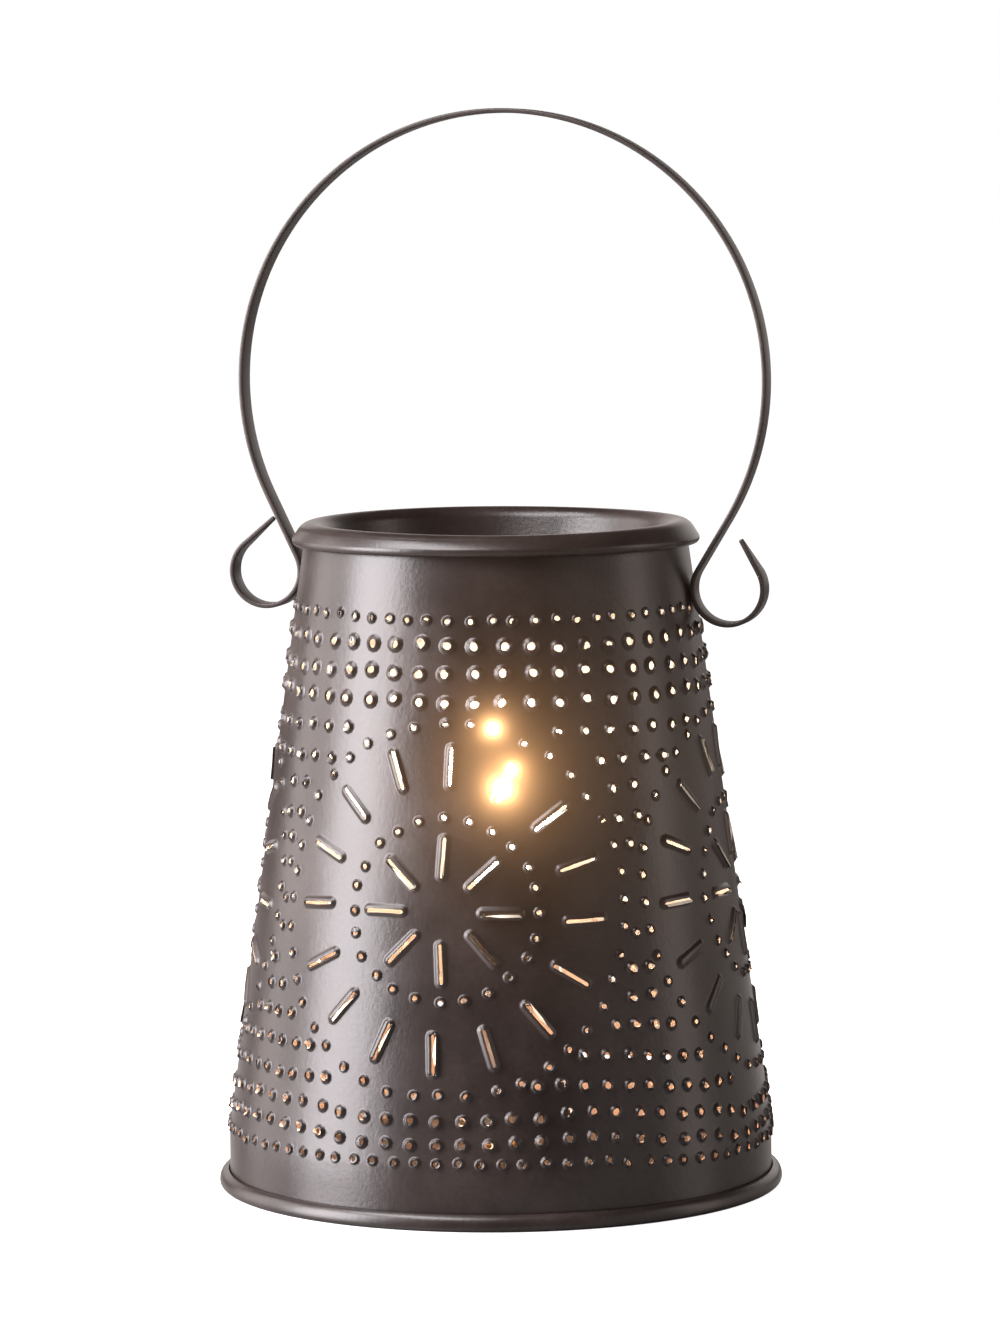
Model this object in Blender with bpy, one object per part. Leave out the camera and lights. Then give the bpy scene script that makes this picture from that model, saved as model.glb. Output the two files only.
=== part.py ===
# Punched tin lantern with a lift-off warming dish, a strap handle and a small lamp inside.
# Metres, +Z up. The lantern stands on z = 0, centred on the origin. The handle lies in the XZ plane
# and one punched medallion faces each of -Y, +X, +Y and -X.

import math

import bmesh
import bpy
from mathutils import Matrix, Vector
from mathutils.geometry import delaunay_2d_cdt, interpolate_bezier

# Fits
SEAT_GAP = 0.0003  # between two pieces that touch
THREAD_CLEARANCE = 0.0003  # screwed pieces, radially

# Wall: one tinplate sheet rolled into a cone above a short straight foot
WALL_SHEET = 0.0005
INNER_SAG = 0.00015  # mean sag of the inner face's wide facets, given back so that the sheet isn't too heavy
WALL_BASE_RADIUS = 0.0764
WALL_TOP_RADIUS = 0.05304
KNEE_HEIGHT = 0.016
WALL_HEIGHT = 0.186
WALL_ROW = 0.025  # height of the facets where the sheet is bare
BARE_CLEARANCE = 0.0045  # between a bare facet's corner and the foot of a mark
KNEE_CLEARANCE = 0.0025  # the same at the knee, where the sheet must stay sharp

# Punched pattern, measured on the flat sheet before it is rolled. A medallion's slots and dots are
# pierced, with a raised and burst edge. The larger dots of the rows above are raised and left closed.
MEDALLION_HEIGHT = 0.0853
HUB_RADIUS = 0.0095  # bare middle of a medallion, out to its inner slots
INNER_SLOT_COUNT = 8
INNER_RING_COUNT = 24
INNER_RING_GAP = 0.0053  # from the inner slots' ends to the middles of the inner ring's dots
OUTER_SLOT_COUNT = 16
OUTER_SLOT_GAP = 0.0080  # from that ring to the outer slots
OUTER_RING_COUNT = 42
OUTER_RING_GAP = 0.0059  # from the outer slots' ends to the outer ring
SLOT_LENGTH = 0.0112
SLOT_WIDTH = 0.0018
SLOT_RIDGE = 0.0010  # width of the raised metal round a slot's hole
DOT_HOLE = 0.00125  # to the corners: the small round punch is drawn with three
DOT_FOOT = 0.0022
DOT_CORNERS = 3
ROW_COUNT = 3
ROW_GAP = 0.0058  # from the top of the outer ring to the lowest row of larger dots
ROW_PITCH = 0.0076
ROW_FOOT = 0.0029
PUNCH_RISE = 0.0011  # how far each mark stands out of the sheet
MARK_MARGIN = 0.0003  # least bare sheet between two marks
EDGE_MARGIN = 0.0003  # least metal between a mark and the line where two quarters join

# Base pan: raised floor, a flat foot ring and a rolled flange that grips the wall's foot
PAN_SHEET = 0.0006
FLANGE_WIDTH = 0.002675  # how far the rolled flange stands out from the wall
FLANGE_HEIGHT = 0.0047
FLANGE_CORNER = 0.0013
FLOOR_HEIGHT = 0.0060
CHANNEL_SLACK = 0.0015  # between the wall's foot and the floor's step

# Warming dish: a bowl with a broad round brim, which sits on the wall's mouth and ends in a bead
DISH_SHEET = 0.0006
DISH_DEPTH = 0.0186
BOWL_INSET = 0.01904  # from the wall's mouth in to the edge of the bowl's flat floor
BOWL_CORNER = 0.012
CREST_RADIUS = 0.0039  # of the middle of the sheet, as for the bead
CREST_INSET = 0.00144  # from the wall's mouth in to the middle of the crest
BEAD_RADIUS = 0.0012
BEAD_CLEARANCE = 0.0006  # from the bead's inner end to the wall
BRIM_REACH = 0.00411  # how far the brim stands out past the wall's mouth
BRIM_DROP = 0.0071

# Strap handle: an arch, two straight legs and two curled feet, all in one plane
STRAP_WIDTH = 0.0080
STRAP_SHEET = 0.0013
ARCH_RADIUS = 0.0748
LEG_LENGTH = 0.01652  # straight part of the right leg, between the arch and its curl
ARCH_OFFSET = 0.0023  # the arch leans towards +X, as bent by hand
CURL_RADIUS = 0.0099
LEFT_CURL_DROP = 0.0140  # centre of each curl, below the wall's mouth
RIGHT_CURL_DROP = 0.0180
CURL_OPENING = 35.0  # degrees past the outermost point, where the curl turns straight
CURL_TAIL = 0.0105
ARCH_STEPS = 18
CURL_STEPS = 14

# Cord inlet at the back
INLET_HEIGHT = 0.0107
INLET_BORE_RADIUS = 0.0026
INLET_NECK_RADIUS = 0.0037
INLET_FLANGE_RADIUS = 0.0049
INLET_FLANGE = 0.0012

# Lamp holder on a threaded stem
STEM_RADIUS = 0.00485
STEM_BORE_RADIUS = 0.0034
STEM_FOOT = 0.0010
STEM_TOP = 0.050
WASHER_RADIUS = 0.0085
WASHER_THICKNESS = 0.0008
NUT_RADIUS = 0.0082
NUT_THICKNESS = 0.0030
CUP_SHEET = 0.0008
CUP_BUSH_RADIUS = 0.0076
CUP_BUSH_LENGTH = 0.0065
CUP_WALL_HEIGHT = 0.0068
HOLDER_RADIUS = 0.0105
HOLDER_LENGTH = 0.0265
HOLDER_FLOOR = 0.0049
HOLDER_CHAMFER = 0.0008
RIVET_RADIUS = 0.0019
SHELL_SHEET = 0.00045
SHELL_LIP = 0.0025
CONTACT_RADIUS = 0.0036
CONTACT_HEIGHT = 0.0036
CONTACT_PLATE = 0.0007

# Candle-shaped bulb with a small screw cap
CAP_RADIUS = 0.00595
CAP_SHEET = 0.00045
CAP_LENGTH = 0.0122
CAP_BUTTON_RADIUS = 0.0023
CAP_BUTTON_FACE = 0.0014
CAP_BUTTON_HEIGHT = 0.0018
CAP_BUTTON_DOME = 0.0004
INSULATOR_HEIGHT = 0.0029
INSULATOR_NECK_RADIUS = 0.0030
INSULATOR_RIM = 0.0006
BULB_LENGTH = 0.0954
BULB_RADIUS = 0.0160
BULB_BELLY = 0.046  # belly height above the cap's contact
NECK_FLARE = 0.1  # share of the swell reached by the neck's curve handle
NECK_REACH = 0.5  # share of the rise from neck to belly that each handle spans
BELLY_REACH = 0.45  # the same from belly to tip
TIP_RADIUS = 0.0050
TIP_REACH = 0.1
GLASS = 0.0007
PRESS_HEIGHT = 0.0350
PRESS_RADIUS = 0.0022
PRESS_LENGTH = 0.0088
LEAD_RADIUS = 0.00025
LEAD_SPREAD = 0.0050
SUPPORT_RADIUS = 0.0002
SUPPORT_FOOT = 0.0009
FILAMENT_RADIUS = 0.00035
FILAMENT_LOW = 0.0510
FILAMENT_HIGH = 0.0655
FILAMENT_SPREAD = 0.0025

# Facets round the turned pieces. The wall's own line up with those of the pan and the dish.
QUARTER_FACETS = 10
LARGE_SEGMENTS = 4 * QUARTER_FACETS
GLASS_SEGMENTS = 12
SMALL_SEGMENTS = 12
NUT_SIDES = 6

FULL_TURN = 2 * math.pi
SLOPE = (WALL_BASE_RADIUS - WALL_TOP_RADIUS) / (WALL_HEIGHT - KNEE_HEIGHT)
CONE_ANGLE = math.atan(SLOPE)


def wall_radius(z):
    """Outer radius of the wall at height z."""
    return WALL_BASE_RADIUS - SLOPE * max(0.0, z - KNEE_HEIGHT)


def clear_scene():
    for obj in list(bpy.data.objects):
        bpy.data.objects.remove(obj, do_unlink=True)


def finish(name, colour, roughness, metallic):
    material = bpy.data.materials.new(name)
    material.use_nodes = True
    shader = material.node_tree.nodes["Principled BSDF"]
    shader.inputs["Base Color"].default_value = (*colour, 1.0)
    shader.inputs["Roughness"].default_value = roughness
    shader.inputs["Metallic"].default_value = metallic
    return material


def add_object(name, bm, material, smooth_angle=35):
    mesh = bpy.data.meshes.new(name)
    bm.to_mesh(mesh)
    bm.free()
    mesh.shade_smooth()
    mesh.set_sharp_from_angle(angle=math.radians(smooth_angle))
    mesh.materials.append(material)
    obj = bpy.data.objects.new(name, mesh)
    bpy.context.scene.collection.objects.link(obj)
    return obj


def arc(centre, radius, start, end, steps):
    """Points on an arc in the profile plane, angles in radians, counterclockwise from +r."""
    angles = [start + (end - start) * i / steps for i in range(steps + 1)]
    return [(centre[0] + radius * math.cos(a), centre[1] + radius * math.sin(a)) for a in angles]


def round_loop(centre, radius, start, corners):
    return arc(centre, radius, start, start + FULL_TURN * (corners - 1) / corners, corners - 1)


def tangent_angle(first, first_radius, second, second_radius, side, crossed):
    """Direction from the first centre to where a straight line touches both circles."""
    across = Vector(second) - Vector(first)
    reach = first_radius + second_radius if crossed else first_radius - second_radius
    return math.atan2(across.y, across.x) + side * math.acos(reach / across.length)


def sheet_outline(path, thickness):
    """Closed outline of bent sheet whose middle follows the path."""
    points = [Vector(p) for p in path]
    left, right = [], []
    for i, point in enumerate(points):
        before = (point - points[i - 1]).normalized() if i else None
        after = (points[i + 1] - point).normalized() if i + 1 < len(points) else None
        before = before or after
        after = after or before
        normal = Vector((-(before + after).y, (before + after).x)).normalized()
        width = thickness / 2 / normal.dot(Vector((-after.y, after.x)))
        left.append(point + normal * width)
        right.append(point - normal * width)
    return left + right[::-1]


def turned(name, outline, segments, material):
    """Turns an outline of (radius, height) points round Z. One that starts on the axis also ends there."""
    bm = bmesh.new()
    points = [bm.verts.new((r, 0.0, z)) for r, z in outline]
    edges = [bm.edges.new(pair) for pair in zip(points, points[1:])]
    if outline[0][0] > 0:
        edges.append(bm.edges.new((points[-1], points[0])))
    bmesh.ops.spin(
        bm, geom=points + edges, cent=(0, 0, 0), axis=(0, 0, 1), angle=FULL_TURN, steps=segments, use_merge=True
    )
    bmesh.ops.remove_doubles(bm, verts=bm.verts, dist=1e-6)
    bmesh.ops.dissolve_degenerate(bm, edges=bm.edges, dist=1e-6)
    bmesh.ops.recalc_face_normals(bm, faces=bm.faces)
    return add_object(name, bm, material)


def wire(name, points, radius, material):
    curve = bpy.data.curves.new(name, "CURVE")
    curve.dimensions = "3D"
    curve.bevel_depth = radius
    curve.bevel_resolution = 1
    curve.use_fill_caps = True
    spline = curve.splines.new("POLY")
    spline.points.add(len(points) - 1)
    for spot, point in zip(spline.points, points):
        spot.co = (*point, 1.0)
    curve.materials.append(material)
    obj = bpy.data.objects.new(name, curve)
    bpy.context.scene.collection.objects.link(obj)
    return obj


def arc_place(point):
    """Distance round the wall and height of an (angle, height) point."""
    return Vector((point[0] * wall_radius(point[1]), point[1]))


def clearance(loop, other):
    """Widest gap between two convex outlines, seen along any of their sides. Below zero they overlap."""
    widest = -math.inf
    for outline in (loop, other):
        for a, b in zip(outline, outline[1:] + outline[:1]):
            across = Vector((b.y - a.y, a.x - b.x)).normalized()
            first, second = [[across.dot(point) for point in side] for side in (loop, other)]
            widest = max(widest, min(second) - max(first), min(first) - max(second))
    return widest


class Punch:
    """Marks of one quarter of the sheet, as (angle, height) points round the medallion's centre line."""

    def __init__(self):
        self.feet = []  # loops where the sheet begins to rise
        self.bursts = []  # loops of the raised edges of the holes
        self.tips = []  # points of the marks left closed
        self.bores = []  # loops cut flat

    def rolled(self, across, up):
        """Wall angle and height of a point of the flat sheet, given from the medallion's centre."""
        centre_distance = wall_radius(MEDALLION_HEIGHT) / math.sin(CONE_ANGLE)
        distance = math.hypot(across, centre_distance - up)
        turn = math.atan2(across, centre_distance - up)
        height = MEDALLION_HEIGHT + (centre_distance - distance) * math.cos(CONE_ANGLE)
        return turn / math.sin(CONE_ANGLE), height

    def has_room(self, foot):
        rows = sheet_rows()
        for angle, height in foot:
            if (math.pi / 4 - abs(angle)) * wall_radius(height) < EDGE_MARGIN:
                return False
            if not rows[0] + EDGE_MARGIN < height < rows[-1] - EDGE_MARGIN:
                return False
        here = [arc_place(point) for point in foot]
        for other in self.feet + self.bores:
            there = [arc_place(point) for point in other]
            if (here[0] - there[0]).length < 2 * SLOT_LENGTH and clearance(here, there) < MARK_MARGIN:
                return False
        return True

    def pierce(self, hole, foot):
        hole, foot = [[self.rolled(*corner) for corner in loop] for loop in (hole, foot)]
        if self.has_room(foot):
            self.bursts.append(hole)
            self.feet.append(foot)

    def dot_ring(self, count, ring_radius):
        for i in range(count):
            turn = math.pi / 2 + FULL_TURN * i / count
            middle = (ring_radius * math.cos(turn), ring_radius * math.sin(turn))
            start = turn + math.pi / DOT_CORNERS
            self.pierce(*[round_loop(middle, radius, start, DOT_CORNERS) for radius in (DOT_HOLE, DOT_FOOT)])

    def slot_ring(self, count, start):
        for i in range(count):
            spin = Matrix.Rotation(math.pi / 2 + FULL_TURN * i / count, 2)
            loops = []
            for ridge in (0.0, SLOT_RIDGE):
                near, far = start - ridge, start + SLOT_LENGTH + ridge
                side = SLOT_WIDTH / 2 + ridge
                outline = [(near, -side), (far, -side), (far, side), (near, side)]
                loops.append([spin @ Vector(corner) for corner in outline])
            self.pierce(*loops)

    def level_row(self, height):
        """Closed dots level round the wall, none of them on the line where two quarters join."""
        wall = wall_radius(height)
        count = 2 * round(math.pi / 4 * wall / ROW_PITCH)
        for i in range(count):
            angle = math.pi / 2 * ((i + 0.5) / count - 0.5)
            around = round_loop((angle * wall, height), ROW_FOOT, math.pi / 2, DOT_CORNERS)
            foot = [(x / wall, z) for x, z in around]
            if self.has_room(foot):
                self.feet.append(foot)
                self.tips.append((angle, height))

    def inlet(self):
        around = round_loop((0, INLET_HEIGHT), INLET_NECK_RADIUS + SEAT_GAP, 0.0, SMALL_SEGMENTS)
        self.bores.append([(x / wall_radius(INLET_HEIGHT), z) for x, z in around])


def punch_quarter(with_inlet):
    punch = Punch()
    if with_inlet:
        punch.inlet()
    inner_ring = HUB_RADIUS + SLOT_LENGTH + INNER_RING_GAP
    outer_slots = inner_ring + OUTER_SLOT_GAP
    outer_ring = outer_slots + SLOT_LENGTH + OUTER_RING_GAP
    punch.slot_ring(INNER_SLOT_COUNT, HUB_RADIUS)
    punch.dot_ring(INNER_RING_COUNT, inner_ring)
    punch.slot_ring(OUTER_SLOT_COUNT, outer_slots)
    punch.dot_ring(OUTER_RING_COUNT, outer_ring)
    for i in range(ROW_COUNT):
        punch.level_row(MEDALLION_HEIGHT + outer_ring + ROW_GAP + i * ROW_PITCH)
    return punch


def sheet_rows():
    """Heights of the rows of facets, from the sheet's foot to its top."""
    steps = math.ceil((WALL_HEIGHT - KNEE_HEIGHT) / WALL_ROW)
    cone = [KNEE_HEIGHT + (WALL_HEIGHT - KNEE_HEIGHT) * i / steps for i in range(steps + 1)]
    return [PAN_SHEET + SEAT_GAP] + cone


def sheet_columns():
    return [math.pi / 2 * (i / QUARTER_FACETS - 0.5) for i in range(QUARTER_FACETS + 1)]


def bare_points(marks):
    """Points that keep the bare parts of the rolled sheet round, clear of the marks."""
    spots = [arc_place(point) for loop in marks for point in loop]
    spots += [sum((arc_place(point) for point in loop), Vector((0, 0))) / len(loop) for loop in marks]
    points = []
    for i, z in enumerate(sheet_rows()[1:-1]):
        clearance = BARE_CLEARANCE if i else KNEE_CLEARANCE
        for angle in sheet_columns()[1:-1]:
            if min((arc_place((angle, z)) - spot).length for spot in spots) > clearance:
                points.append((angle, z))
    return points


def sheet_frame():
    """Edge of one quarter of the sheet, and how many of its points are along the foot and up each side."""
    columns, rows = sheet_columns(), sheet_rows()
    low = [(angle, rows[0]) for angle in columns]
    high = [(angle, rows[-1]) for angle in columns[::-1]]
    right = [(columns[-1], z) for z in rows[1:-1]]
    left = [(columns[0], z) for z in rows[-2:0:-1]]
    return low + right + high + left, len(low), len(right)


def cut_skin(bm, punch, turn, is_outside):
    """One face of a quarter of the sheet. Returns the corners of its foot, its top and its holes."""
    frame, across, up = sheet_frame()
    holes = punch.bores + punch.bursts
    points, loops = [], []
    for loop in [frame] + holes + (punch.feet if is_outside else []):
        loops.append(list(range(len(points), len(points) + len(loop))))
        points += loop
    tips = punch.tips if is_outside else []
    first_tip = len(points)
    points += tips + bare_points(punch.feet + punch.bores)
    scale = (WALL_BASE_RADIUS + WALL_TOP_RADIUS) / 2
    flat = [Vector((angle * scale, z)) for angle, z in points]
    made, _, cells, origins, _, sources = delaunay_2d_cdt(flat, [], loops, 1, 1e-7)
    place = {origin: i for i, near in enumerate(origins) for origin in near}
    raised = set()
    if is_outside:
        raised.update(place[first_tip + i] for i in range(len(tips)))
        raised.update(place[i] for loop in loops[1 + len(punch.bores) : 1 + len(holes)] for i in loop)
    corners = []
    for i, point in enumerate(made):
        angle = point.x / scale + turn
        r = wall_radius(point.y) + (PUNCH_RISE if i in raised else 0.0)
        r -= 0.0 if is_outside else WALL_SHEET - INNER_SAG
        corners.append(bm.verts.new((r * math.sin(angle), -r * math.cos(angle), point.y)))
    for cell, source in zip(cells, sources):
        if not any(1 <= index <= len(holes) for index in source):
            bm.faces.new([corners[i] for i in cell])
    edges = [loops[0][:across], loops[0][across + up : 2 * across + up]] + loops[1 : 1 + len(holes)]
    return [[corners[place[i]] for i in edge] for edge in edges]


def build_wall(material):
    """A rolled sheet with both its faces, the outer one raised at each mark."""
    bm = bmesh.new()
    for quarter in range(4):
        punch = punch_quarter(with_inlet=quarter == 2)
        turn = quarter * math.pi / 2
        outside, inside = [cut_skin(bm, punch, turn, is_outside) for is_outside in (True, False)]
        for number, (outer, inner) in enumerate(zip(outside, inside)):
            is_closed = number > 1
            for i in range(len(outer) - 1 + is_closed):
                k = (i + 1) % len(outer)
                bm.faces.new([outer[i], outer[k], inner[k], inner[i]])
    bmesh.ops.remove_doubles(bm, verts=bm.verts, dist=1e-6)
    bmesh.ops.recalc_face_normals(bm, faces=bm.faces)
    return add_object("punched_wall", bm, material)


def build_pan(material):
    channel = WALL_BASE_RADIUS - WALL_SHEET - CHANNEL_SLACK
    grip = WALL_BASE_RADIUS + SEAT_GAP
    hole = STEM_RADIUS + THREAD_CLEARANCE
    floor_top = FLOOR_HEIGHT + PAN_SHEET
    outline = [(hole, FLOOR_HEIGHT), (channel - 2 * PAN_SHEET, FLOOR_HEIGHT), (channel - PAN_SHEET, 0.0)]
    outline += arc((grip + FLANGE_WIDTH - FLANGE_CORNER, FLANGE_CORNER), FLANGE_CORNER, -math.pi / 2, 0, 2)
    rise = FLANGE_HEIGHT - FLANGE_CORNER
    for x, z in arc((0, 0), 1, 0, math.pi / 2, 4)[1:]:
        outline.append((grip + FLANGE_WIDTH * x, FLANGE_CORNER + rise * z))
    outline += [(grip, PAN_SHEET), (channel, PAN_SHEET), (channel - PAN_SHEET, floor_top), (hole, floor_top)]
    return turned("base_pan", outline, LARGE_SEGMENTS, material)


def build_dish(material):
    middle = DISH_SHEET / 2
    rise = math.sqrt((CREST_RADIUS - middle) ** 2 - CREST_INSET**2)
    crest = (WALL_TOP_RADIUS - CREST_INSET, WALL_HEIGHT + SEAT_GAP - rise)
    top = crest[1] + CREST_RADIUS + middle
    inset = middle + BEAD_RADIUS
    bead = (WALL_TOP_RADIUS + BRIM_REACH - inset, top - BRIM_DROP + inset)
    floor = top - DISH_DEPTH - middle
    corner = (WALL_TOP_RADIUS - BOWL_INSET, floor + BOWL_CORNER)
    inward = tangent_angle(crest, CREST_RADIUS, corner, BOWL_CORNER, -1, True) % FULL_TURN
    outward = tangent_angle(crest, CREST_RADIUS, bead, BEAD_RADIUS, 1, False)
    path = [(0.0, floor)]
    path += arc(corner, BOWL_CORNER, -math.pi / 2, inward - math.pi, 3)
    path += arc(crest, CREST_RADIUS, inward, outward, 4)
    path += arc(bead, BEAD_RADIUS, outward, -math.pi / 2, 2)
    path.append((wall_radius(bead[1]) + BEAD_CLEARANCE, path[-1][1]))
    outline = sheet_outline(path, DISH_SHEET)
    outline[0] = (0.0, floor + middle)
    outline[-1] = (0.0, floor - middle)
    return turned("warming_dish", outline, LARGE_SEGMENTS, material)


def curl_centre(drop):
    """Centre of a curled foot whose back just touches the sloping wall."""
    height = WALL_HEIGHT - drop
    reach = CURL_RADIUS + STRAP_SHEET / 2 + SEAT_GAP
    return wall_radius(height) + reach / math.cos(CONE_ANGLE), height


def arch_centre():
    """Centre of the arch, held at this height by the straight part of the right leg."""
    curl = curl_centre(RIGHT_CURL_DROP)
    reach = math.hypot(ARCH_RADIUS + CURL_RADIUS, LEG_LENGTH)
    return ARCH_OFFSET, curl[1] + math.sqrt(reach**2 - (curl[0] - ARCH_OFFSET) ** 2)


def strap_side(centre, curl_drop):
    """Middle line from the arch's crown down one side to the tip of its curl, drawn towards +X."""
    curl = curl_centre(curl_drop)
    leave = tangent_angle(centre, ARCH_RADIUS, curl, CURL_RADIUS, 1, True)
    leave = math.remainder(leave, FULL_TURN)
    side = arc(centre, ARCH_RADIUS, math.pi / 2, leave, ARCH_STEPS)
    opening = FULL_TURN + math.radians(CURL_OPENING)
    side += arc(curl, CURL_RADIUS, leave + math.pi, opening, CURL_STEPS)
    lean = (-math.sin(opening), math.cos(opening))
    side.append((side[-1][0] + CURL_TAIL * lean[0], side[-1][1] + CURL_TAIL * lean[1]))
    return side


def build_handle(material):
    offset, height = arch_centre()
    right = strap_side((offset, height), RIGHT_CURL_DROP)
    left = strap_side((-offset, height), LEFT_CURL_DROP)
    middle = [(-x, z) for x, z in left[:0:-1]] + right
    bm = bmesh.new()
    corners = [bm.verts.new((p.x, -STRAP_WIDTH / 2, p.y)) for p in sheet_outline(middle, STRAP_SHEET)]
    side = bm.faces.new(corners)
    swept = bmesh.ops.extrude_face_region(bm, geom=[side])["geom"]
    moved = [item for item in swept if isinstance(item, bmesh.types.BMVert)]
    bmesh.ops.translate(bm, verts=moved, vec=(0, STRAP_WIDTH, 0))
    bmesh.ops.recalc_face_normals(bm, faces=bm.faces)
    return add_object("strap_handle", bm, material)


def build_grommet(material):
    wall_outside = WALL_BASE_RADIUS
    sagitta = WALL_BASE_RADIUS - math.sqrt(WALL_BASE_RADIUS**2 - INLET_FLANGE_RADIUS**2)
    outer = wall_outside + SEAT_GAP
    inner = wall_outside - WALL_SHEET - SEAT_GAP - sagitta
    outline = [(INLET_BORE_RADIUS, outer + INLET_FLANGE), (INLET_FLANGE_RADIUS, outer + INLET_FLANGE)]
    outline += [(INLET_FLANGE_RADIUS, outer), (INLET_NECK_RADIUS, outer), (INLET_NECK_RADIUS, inner)]
    outline += [(INLET_FLANGE_RADIUS, inner), (INLET_FLANGE_RADIUS, inner - INLET_FLANGE)]
    outline.append((INLET_BORE_RADIUS, inner - INLET_FLANGE))
    grommet = turned("inlet_grommet", outline, SMALL_SEGMENTS, material)
    grommet.rotation_euler = (-math.pi / 2, 0, 0)
    grommet.location = (0, 0, INLET_HEIGHT)
    return grommet


def ring_outline(inner, outer, low, high):
    return [(inner, low), (outer, low), (outer, high), (inner, high)]


def build_stem(steel, brass):
    bore = STEM_RADIUS + THREAD_CLEARANCE
    flat_bore = bore / math.cos(math.pi / NUT_SIDES)
    turned("stem_tube", ring_outline(STEM_BORE_RADIUS, STEM_RADIUS, STEM_FOOT, STEM_TOP), SMALL_SEGMENTS, steel)
    below = FLOOR_HEIGHT - SEAT_GAP
    above = FLOOR_HEIGHT + PAN_SHEET + SEAT_GAP
    reach = WASHER_THICKNESS + SEAT_GAP
    washers = {"lower_washer": below - WASHER_THICKNESS, "upper_washer": above}
    for name, low in washers.items():
        turned(name, ring_outline(bore, WASHER_RADIUS, low, low + WASHER_THICKNESS), SMALL_SEGMENTS, steel)
    nuts = {"lower_lock_nut": below - reach - NUT_THICKNESS, "upper_lock_nut": above + reach}
    for name, low in nuts.items():
        turned(name, ring_outline(flat_bore, NUT_RADIUS, low, low + NUT_THICKNESS), NUT_SIDES, brass)


def build_holder(cup_metal, insulator, brass):
    """Socket pieces from the stem's top up. Returns the height of the centre contact's crown."""
    seat = STEM_TOP + CUP_SHEET
    bush_low = seat - CUP_BUSH_LENGTH
    cup_inside = HOLDER_RADIUS + SEAT_GAP
    cup = [(STEM_RADIUS + THREAD_CLEARANCE, bush_low), (CUP_BUSH_RADIUS, bush_low)]
    cup += [(CUP_BUSH_RADIUS, seat - 2 * CUP_SHEET), (cup_inside + CUP_SHEET, seat)]
    cup += [(cup_inside + CUP_SHEET, seat + CUP_WALL_HEIGHT), (cup_inside, seat + CUP_WALL_HEIGHT)]
    cup += [(cup_inside, seat + CUP_SHEET), (STEM_RADIUS + THREAD_CLEARANCE, seat + CUP_SHEET)]
    turned("socket_cup", cup, SMALL_SEGMENTS, cup_metal)
    low = seat + CUP_SHEET + SEAT_GAP
    high = low + HOLDER_LENGTH
    floor = low + HOLDER_FLOOR
    shell_inside = CAP_RADIUS + THREAD_CLEARANCE
    shell_outside = shell_inside + SHELL_SHEET
    bore = shell_outside + SEAT_GAP
    rivet_hole = RIVET_RADIUS + SEAT_GAP
    body = [(rivet_hole, low), (HOLDER_RADIUS, low), (HOLDER_RADIUS, high - HOLDER_CHAMFER)]
    body += [(HOLDER_RADIUS - HOLDER_CHAMFER, high), (bore, high), (bore, floor), (rivet_hole, floor)]
    turned("socket_body", body, SMALL_SEGMENTS, insulator)
    plate = floor + SEAT_GAP
    shell = [(shell_inside - SHELL_LIP, plate), (shell_outside, plate), (shell_outside, high - HOLDER_CHAMFER)]
    shell += [(shell_inside, high - HOLDER_CHAMFER), (shell_inside, plate + SHELL_SHEET)]
    shell.append((shell_inside - SHELL_LIP, plate + SHELL_SHEET))
    turned("screw_shell", shell, SMALL_SEGMENTS, brass)
    crown = plate + CONTACT_HEIGHT
    rivet_end = low + SEAT_GAP
    rim = min(CONTACT_RADIUS, shell_inside - SHELL_LIP - SEAT_GAP)
    contact = [(0.0, rivet_end), (RIVET_RADIUS, rivet_end), (RIVET_RADIUS, plate)]
    contact += [(rim, plate), (rim, plate + CONTACT_PLATE)]
    contact += [(CAP_BUTTON_RADIUS, crown - SEAT_GAP), (0.0, crown)]
    turned("centre_contact", contact, SMALL_SEGMENTS, brass)
    return crown


def glass_outline(foot, base):
    """Open-necked envelope with a candle-flame shape."""
    neck = CAP_RADIUS - CAP_SHEET - SEAT_GAP - GLASS / 2
    belly = (BULB_RADIUS - GLASS / 2, base + BULB_BELLY)
    tip = (0.0, base + BULB_LENGTH - GLASS / 2)
    neck_top = base + CAP_BUTTON_HEIGHT + INSULATOR_HEIGHT + CAP_LENGTH
    spread, rise = belly[0] - neck, belly[1] - neck_top
    height = tip[1] - belly[1]
    knots = [(neck, neck_top), (neck + NECK_FLARE * spread, neck_top + NECK_REACH * rise)]
    knots += [(belly[0], belly[1] - NECK_REACH * rise), belly]
    lower = interpolate_bezier(*[Vector((*k, 0)) for k in knots], 6)
    knots = [belly, (belly[0], belly[1] + BELLY_REACH * height), (TIP_RADIUS, tip[1] - TIP_REACH * height), tip]
    upper = interpolate_bezier(*[Vector((*k, 0)) for k in knots], 7)
    path = [(neck, foot)] + [(p.x, p.y) for p in lower + upper[1:]]
    outline = sheet_outline(path, GLASS)
    last = len(path) - 1
    outline[last] = (0.0, tip[1] - GLASS / 2)
    outline[last + 1] = (0.0, tip[1] + GLASS / 2)
    return outline[last + 1 :] + outline[: last + 1]


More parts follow.
